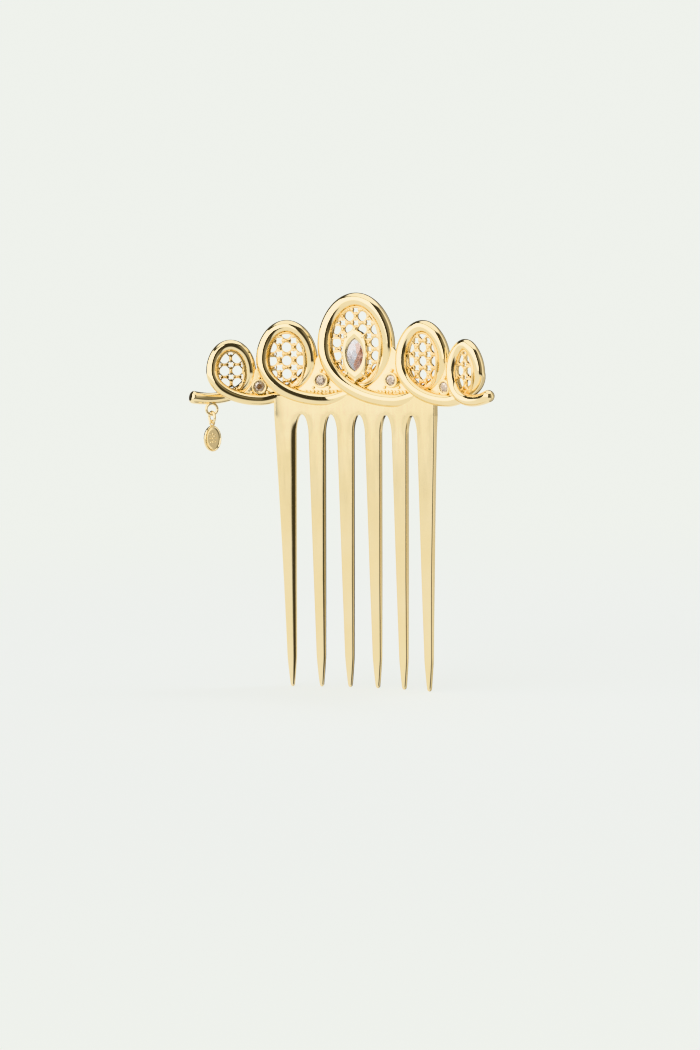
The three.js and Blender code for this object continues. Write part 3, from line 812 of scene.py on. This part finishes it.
def lean(across, below):
    """How far a window's middle line has moved to the right, at a share of the way down."""
    return WINDOW_LEAN * across * np.maximum(0, below) ** 2


def panel_oval(loop, inset, count=96):
    across, up = window(loop, inset)
    angle = turns(count)
    x = across * np.cos(angle) + lean(across, -np.sin(angle))
    return np.stack([loop["centre"] + x, loop["middle"] + up * np.sin(angle)], 1)


def inside_share(loop, point):
    """How far out a point is in a panel's oval: 0 at its middle and 1 on its rim."""
    across, up = window(loop, PANEL_RIM)
    y = (point[1] - loop["middle"]) / up
    return math.hypot((point[0] - loop["centre"] - lean(across, -y)) / across, y)


def clip_to_oval(loop, outline):
    """Pulls the points of a hole that lie outside a panel's oval back onto it."""
    across, up = window(loop, PANEL_RIM)
    clipped = []
    for x, y in outline:
        share = inside_share(loop, (x, y))
        if share > 1:
            middle = loop["centre"] + lean(across, (loop["middle"] - y) / up)
            y = loop["middle"] + (y - loop["middle"]) / share
            x = middle + (x - middle) / share
        clipped.append((x, y))
    return clipped


def even_out(outline):
    """Spaces an outline's points evenly and softens its corners."""
    points, _ = resampled(
        np.vstack([outline, outline[:1]]),
        lambda length: np.linspace(0, length, EDGE_POINTS, endpoint=False),
    )
    return (2 * points + np.roll(points, 1, axis=0) + np.roll(points, -1, axis=0)) / 4


def star_hole(x, y, reach):
    """A small four-pointed hole: its points lie on the diagonals and its sides are hollow."""
    pull = np.abs(np.sin(2 * turns(32))) ** STAR_SHARPNESS
    return circle(x, y, reach * lerp(STAR_WAIST, 1, pull))


def navette_size(side, end):
    """Half the width and length of the marquise, widened, and the radius of its two arcs."""
    half_width, half_length = MARQUISE["width"] / 2 + side, MARQUISE["length"] / 2 + end
    return half_width, half_length, (half_width ** 2 + half_length ** 2) / (2 * half_width)


def navette(side, end, count=48):
    """The marquise's outline, widened: two arcs that meet in a point above and below."""
    half_width, half_length, radius = navette_size(side, end)
    sweep = math.asin(half_length / radius)
    a = np.linspace(-sweep, sweep, count // 2, endpoint=False)
    side = np.stack([radius * np.cos(a) - radius + half_width, radius * np.sin(a)], 1)
    return np.vstack([side, -side]) + [MARQUISE["arc"], MARQUISE["height"]]


def in_bezel(x, y, margin):
    """Whether a point lies under the marquise's collar, widened by a margin."""
    half_width, _, radius = navette_size(BEZEL_SIDE_WALL + margin, BEZEL_END_WALL + margin)
    aside = abs(x - MARQUISE["arc"]) + radius - half_width
    return math.hypot(aside, y - MARQUISE["height"]) < radius


def build_lattice(index):
    """Round holes with a star between every four, beads where two holes meet, and a wire rim."""
    loop, grid = LOOPS[index], HOLE_GRIDS[index]
    middle = index == MIDDLE_LOOP
    diagonal = math.hypot(grid["across"], grid["up"]) / 2
    reach = min(STAR_RADIUS, diagonal - HOLE_RADIUS - STAR_MARGIN)
    holes, beads = [], []
    necks = [(grid[way] / 2 - HOLE_RADIUS) * BEAD_WIDTH for way in ("across", "up")]
    for column in GRID_COLUMNS:
        for row in GRID_ROWS:
            x = loop["centre"] + (column + grid["shift"]) * grid["across"]
            y = loop["middle"] + grid["lift"] + row * grid["up"]
            aside, above = x + grid["across"] / 2, y + grid["up"] / 2
            holes += [circle(x, y, HOLE_RADIUS), star_hole(aside, above, reach)]
            beads += [(aside, y, necks[0], BEAD_LENGTH), (x, above, BEAD_LENGTH, necks[1])]
    kept = []
    for hole in holes:
        centre = np.mean(hole, axis=0)
        too_far = inside_share(loop, centre) > FARTHEST_HOLE
        if too_far or (middle and in_bezel(*centre, -0.2)):
            continue
        clipped = even_out(clip_to_oval(loop, hole))
        if abs(area(clipped)) > SMALLEST_HOLE:
            kept.append(clipped)
    outlines = [panel_oval(loop, -WINDOW_MARGIN), *kept]
    if middle:
        outlines.append(navette(-0.1, -0.1))
    solid = Solid()
    add_sheet(solid, outlines, PANEL_THICKNESS, PANEL_ROUNDING)
    for x, y, across, up in beads:
        if inside_share(loop, (x, y)) < 1.0 and not (middle and in_bezel(x, y, 0.1)):
            for face in (1, -1):
                add_bead(solid, (x, y, face * BEAD_FRONT), (across, up, BEAD_DEPTH))
    rim = lift(panel_oval(loop, 0.0), RIM_WIRE)
    along = unit(np.roll(rim, -1, axis=0) - np.roll(rim, 1, axis=0))
    solid.add_rings(rings_about(rim, along, RIM_WIRE, -turns(12)), ends="joined")
    return solid.finish(f"openwork_{LOOP_NAMES[index]}", merge=2e-7, sharp=50)


for number, loop_name in enumerate(LOOP_NAMES):
    place(build_lattice(number), lattice_gold, "lattice_gold", "comb", f"lattice_{loop_name}")


# ---- stones and their settings ----
SETTING_BACK = -0.42
# From the outer wall over the face to the inner wall: share of the way out, and front.
COLLAR_PROFILE = (
    (1.0, SETTING_BACK), (1.0, 0.9), (0.98, 1.08), (0.93, 1.2), (0.84, 1.28), (0.5, 1.34),
    (0.16, 1.3), (0.08, 1.24), (0.03, 1.14), (0.0, 1.0), (0.0, SETTING_BACK),
)
# Each claw's place from the stone's middle, half sizes and turn.
SIDE_CLAW = ((3.4, 0, 0.85), (0.42, 0.8, 0.55), 0)
SHOULDER_CLAW = ((2.45, 4.9, 0.95), (0.85, 0.62, 0.6), 0.7)
POINT_CLAW = ((0, 6.7, 0.8), (0.6, 0.85, 0.6), 0)
WARM_REFLECTION_LINE = (0.25, 0.12)  # where the marquise's painted reflection turns warm, and how that line leans
SPARKLE = 0.3  # how much the painted facet reflections differ within one side of it
CUP_LIP = 0.25  # height of the rounding on a cup's edge
CUP_LEDGE = 0.55  # up to here a cup is a little wider inside
CUP_OVERLAP = 0.06  # how far its lip reaches over the stone
WEB_HOLE = STONE_RADIUS - 0.2
WEB_ROUNDING = 0.15
WEB_SAMPLE = 6  # every how many points a web follows a stroke
GRAIN_PITCH = 2.1
SMALL_GRAIN = 0.2  # how much smaller every second grain is
GRAIN_FOOT = 0.45  # height of the row over the stroke below
ROW_FRONT, CUP_GRAIN_FRONT = 0.6, 0.5


def collar_outline(share):
    """The collar's outline at a share of the way out: a navette with fuller and fuller shoulders."""
    side, end = STONE_GAP + share * BEZEL_SIDE_WALL, STONE_GAP + share * BEZEL_END_WALL
    half_width, half_length, _ = navette_size(side, end)
    x, y = navette(side, end, 120).T
    aside = np.abs(x - MARQUISE["arc"])
    up = np.abs(y - MARQUISE["height"]) / (SHOULDER_LENGTH * half_length)
    full = half_width * np.maximum(0, 1 - up ** SHOULDER_FULLNESS) ** (1 / SHOULDER_FULLNESS)
    aside = lerp(aside, np.maximum(aside, full), share)
    return np.stack([MARQUISE["arc"] + np.copysign(aside, x - MARQUISE["arc"]), y], 1)


def add_claw(solid, claw, side, up):
    """Adds a claw beside, above or below the marquise, or at a corner."""
    (aside, above, front), size, turn = claw
    centre = (MARQUISE["arc"] + side * aside, MARQUISE["height"] + up * above, front)
    add_bead(solid, centre, size, side * up * turn)


def build_bezel():
    """A thick collar with a broad flat face, and claws at its points, shoulders and sides."""
    solid = Solid()
    rings = [lift(collar_outline(share), front) for share, front in COLLAR_PROFILE]
    solid.add_rings(rings, ends="joined")
    for side in (-1, 1):
        add_claw(solid, SIDE_CLAW, side, 0)
        for up in (-1, 1):
            add_claw(solid, SHOULDER_CLAW, side, up)
    for up in (-1, 1):
        add_claw(solid, POINT_CLAW, 0, up)
    return solid.finish("marquise_collar", sharp=40)


def scatter(number, seed):
    """A repeatable value between 0 and 1 that looks random."""
    return math.sin((number + 1) * 12.9898 + seed * 78.233) * 43758.5453 % 1


def paint_facet_reflections(mesh, seed, split):
    """Gives each facet a painted reflection tint from 0 to 1. A split stone's painted reflection is
    warm on one side and clear on the other.
    """
    attribute = mesh.attributes.new("facet", "FLOAT", "FACE")
    middle = sum((face.center for face in mesh.polygons), Vector()) / len(mesh.polygons)
    values = []
    for face in mesh.polygons:
        value = scatter(face.index, seed)
        if split:
            aside = (face.center - middle) / MM
            clear = 1.0 if aside.x < WARM_REFLECTION_LINE[1] * aside.z + WARM_REFLECTION_LINE[0] else 0.0
            value = lerp(clear, value, SPARKLE)
        values.append(value)
    attribute.data.foreach_set("value", values)


def stone_mesh(name, levels, shape, arc, height, seed, split=False):
    """A faceted stone: the hull of rings of points, each a level of (share, front, count, turn)."""
    points = []
    for share, front, count, turn in levels:
        for i in range(count):
            x, y = shape(2 * math.pi * (i + turn) / count, share)
            points.append((arc + x, height + y, front))
    solid = Solid()
    solid.add(bend(points), [])
    bm = solid.bm
    bmesh.ops.convex_hull(bm, input=bm.verts)
    bmesh.ops.dissolve_limit(bm, angle_limit=0.02, verts=bm.verts, edges=bm.edges)
    mesh = solid.finish(name, sharp=0)
    paint_facet_reflections(mesh, seed, split)
    return mesh


ROUND_LEVELS = (
    (0.0, -0.85, 1, 0), (0.55, -0.2, 8, 0.5), (1.0, 0.75, 16, 0), (1.0, 0.85, 16, 0),
    (0.8, 1.08, 8, 0.5), (0.5, 1.25, 8, 0),
)
MARQUISE_LEVELS = (
    (0.0, -0.7, 1, 0), (0.5, -0.15, 8, 0.5), (1.0, 0.85, 20, 0), (1.0, 1.0, 20, 0),
    (0.72, 1.25, 8, 0.5), (0.36, 1.42, 8, 0),
)


def round_shape(angle, share):
    return STONE_RADIUS * share * math.cos(angle), STONE_RADIUS * share * math.sin(angle)


def navette_shape(angle, share):
    """A point of the marquise's outline, scaled by share."""
    half_width, half_length, radius = navette_size(0, 0)
    y = half_length * math.sin(angle)
    x = math.sqrt(radius ** 2 - y ** 2) - radius + half_width
    return share * math.copysign(x, math.cos(angle)), share * y


def crossing(one, other):
    """Where two strokes cross, as seen from the front: the indices of their nearest points."""
    gap = np.linalg.norm(one[:, None, :2] - other[None, :, :2], axis=-1)
    return np.unravel_index(np.argmin(gap), gap.shape)


def web_outline(index):
    """The space between two loops, which runs on under the strokes about it."""
    rise, low = entry_curve(index)[::WEB_SAMPLE], exit_curve(index)[::WEB_SAMPLE]
    onward, fall = entry_curve(index + 1)[::WEB_SAMPLE], exit_curve(index + 1)[::WEB_SAMPLE]
    left, left_low = crossing(rise, low)
    right, right_low = crossing(fall, onward)
    along = unit(np.gradient(rise[:, :2], axis=0))
    outward = np.stack([along[:, 1], -along[:, 0]], 1)
    rise = rise[:, :2] + outward * WEB_TUCK * LOOPS[index]["wire"]
    return np.vstack([
        low[left_low + 3:-1, :2], onward[:right_low, :2], fall[right:0:-1, :2], fall[:1, :2],
        rise[-1:], rise[-2:left + 1:-1],
    ])


def build_corner_setting(number, arc, height):
    """A web with a cup for its stone."""
    solid = Solid()
    outlines = [web_outline(number - 1), circle(arc, height, WEB_HOLE)]
    add_sheet(solid, outlines, WEB_THICKNESS, WEB_ROUNDING, WEB_FRONT)
    inner, outer = STONE_RADIUS - CUP_OVERLAP, STONE_RADIUS + STONE_GAP + CUP_WALL
    middle, half = (inner + outer) / 2, (outer - inner) / 2
    shoulder, bore = CUP_FRONT - CUP_LIP, inner + 0.04
    profile = [(outer, SETTING_BACK), (outer, shoulder)]
    for step in range(1, 7):
        a = math.pi * step / 6
        profile.append((middle + half * math.cos(a), shoulder + CUP_LIP * math.sin(a)))
    profile += [(bore, CUP_LEDGE), (bore, SETTING_BACK)]
    rings = [lift(circle(arc, height, radius, 48), front) for radius, front in profile]
    solid.add_rings(rings, ends="joined")
    return solid.finish(f"corner_cup_{number}", sharp=50)


def build_granules(number, arc, height):
    """A row of grains of gold at the foot of a web, and three about the cup."""
    solid = Solid()
    stroke = LOOPS[number - 1]
    foot = stroke["floor"] + 2 * stroke["wire"] + GRAIN_FOOT
    reach = 2 if number in (1, len(CORNERS)) else 4
    for step in range(-reach, reach + 1):
        size = GRAIN_RADIUS * (1 - SMALL_GRAIN * (step % 2))
        add_bead(solid, (arc + GRAIN_PITCH * GRAIN_RADIUS * step, foot, ROW_FRONT), (size,) * 3)
    top = STONE_RADIUS + STONE_GAP + CUP_WALL + GRAIN_RADIUS
    for x, y in ((0, top), (-0.85 * top, -0.75 * top), (0.85 * top, -0.75 * top)):
        add_bead(solid, (arc + x, height + y, CUP_GRAIN_FRONT), (GRAIN_RADIUS,) * 3)
    return solid.finish(f"granules_{number}")


place(build_bezel(), gold, "polished_gold", "comb", "marquise_bezel")
middle = (MARQUISE["arc"], MARQUISE["height"])
marquise = stone_mesh("marquise_cut", MARQUISE_LEVELS, navette_shape, *middle, 1, split=True)
place(marquise, clear_stone, "clear_stone", "comb", "marquise_stone")
for number, corner in enumerate(CORNERS, 1):
    setting = build_corner_setting(number, *corner)
    place(setting, cast_gold, "polished_gold", "comb", f"corner_setting_{number}")
    place(build_granules(number, *corner), gold, "polished_gold", "comb")
    stone = stone_mesh(f"round_cut_{number}", ROUND_LEVELS, round_shape, *corner, number + 3)
    place(stone, smoky_stone, "smoky_stone", "comb", f"corner_stone_{number}")

# ---- charm ----
EYELET_LOW = EYELET["height"] - EYELET["ring"]
LINK_HEIGHT = EYELET_LOW + EYELET["wire"] + HANG_GAP + LINK["wire"] - LINK["ring"]
LINK_LOW = LINK_HEIGHT - LINK["ring"]
BAIL_HEIGHT = LINK_LOW + LINK["wire"] + HANG_GAP + BAIL["wire"] - BAIL["ring"]
TAG_HEIGHT = BAIL_HEIGHT - BAIL["ring"] - TAG["length"] / 2
TAG_ROUNDING = 0.3  # how far in its rounded edge reaches, in halves of its thickness
PETALS = 8
PETAL_REACH = (0.78, 1.1)
PETAL_SIZE = (0.5, 0.17, 0.12)
BOSS_SIZE = (0.3, 0.3, 0.16)


def charm_matrix(height, twist=0.0):
    """Stands a charm piece, made with x along the arc, y up and z to the front, in its place."""
    centre = bend([(CHARM_ARC, height, 0)])[0]
    turn = Matrix.Rotation(-CHARM_ARC / ARC_RADIUS, 4, "Z") @ Matrix.Rotation(math.pi / 2, 4, "X")
    return Matrix.Translation(centre) @ turn @ Matrix.Rotation(math.radians(twist), 4, "Y")


def hang(matrix, rings):
    """Puts a charm piece's rings of points, in millimetres, in their place."""
    return [[matrix @ (Vector(point) * MM) for point in ring] for ring in rings]


def wire_ring(solid, size, matrix, cut=0.0, height=0.0, sides=16, steps=72):
    """Adds a round ring. A cut leaves the fine slit where a jump ring is closed, in degrees."""
    slit = math.radians(cut)
    rings = []
    for step in range(steps + (1 if cut else 0)):
        around = slit / 2 + (2 * math.pi - slit) * step / steps
        rings.append([
            (reach * math.cos(around), height + reach * math.sin(around), front)
            for reach, front in circle(size["ring"], 0, size["wire"], sides)
        ])
    solid.add_rings(hang(matrix, rings), ends="capped" if cut else "joined")


def lone_ring(name, size, height, twist=0.0, cut=0.0):
    solid = Solid()
    wire_ring(solid, size, charm_matrix(height, twist), cut)
    return solid.finish(name, sharp=70)


def build_tag():
    """An oval medal: a rounded raised rim, a field with a plain rosette in relief, and a bail."""
    half_width, half_length, half = TAG["width"] / 2, TAG["length"] / 2, TAG["thickness"] / 2
    rim, field = TAG["rim"], TAG["thickness"] / 2 - TAG["relief"]
    matrix = charm_matrix(TAG_HEIGHT, LINK["twist"])
    rounded = TAG_ROUNDING * half
    profile = []
    for step in range(9):
        a = math.pi / 2 * step / 8
        profile.append((rounded * (1 - math.cos(a)), half * math.sin(a) ** 0.8))
    for step in range(1, 7):
        share = step / 6
        profile.append((lerp(rounded, rim, share), lerp(half, field, float(ease(share)) ** 1.5)))
    for share in (0.25, 0.5, 0.75, 0.95):
        profile.append((lerp(rim, half_width, share), field))
    angles = turns(72)
    rings = []
    for inset, front in [(inset, -front) for inset, front in profile[:0:-1]] + profile:
        width, length = half_width - inset, half_length - inset
        if inset > rim:
            length = (half_length - rim) * width / (half_width - rim)
        rings.append([(width * math.cos(a), length * math.sin(a), front) for a in angles])
    solid = Solid()
    solid.add_rings(hang(matrix, rings))
    add_rosette(solid, matrix, field)
    wire_ring(solid, BAIL, matrix, height=BAIL_HEIGHT - TAG_HEIGHT, sides=12, steps=40)
    return solid.finish("charm_medal", sharp=50)


def add_rosette(solid, matrix, field):
    """Plain petals about a boss, on both faces."""
    for face in (1, -1):
        beads = []
        for a in turns(PETALS):
            x, y = PETAL_REACH[0] * math.cos(a), PETAL_REACH[1] * math.sin(a)
            beads.append(((x, y, face * field), PETAL_SIZE, math.atan2(y, x)))
        beads.append(((0, 0, face * field), BOSS_SIZE, 0))
        for centre, size, turn in beads:
            solid.add_rings(hang(matrix, bead_rings(centre, size, turn, 6, 12)))


eyelet = lone_ring("charm_eyelet_ring", EYELET, EYELET["height"])
jump_ring = lone_ring("charm_jump_ring", LINK, LINK_HEIGHT, 90 + LINK["twist"], cut=1.6)
place(eyelet, gold, "polished_gold", "comb", "charm_eyelet")
place(jump_ring, gold, "polished_gold", "link", "charm_link")
place(build_tag(), gold, "polished_gold", "tag", "charm_tag")
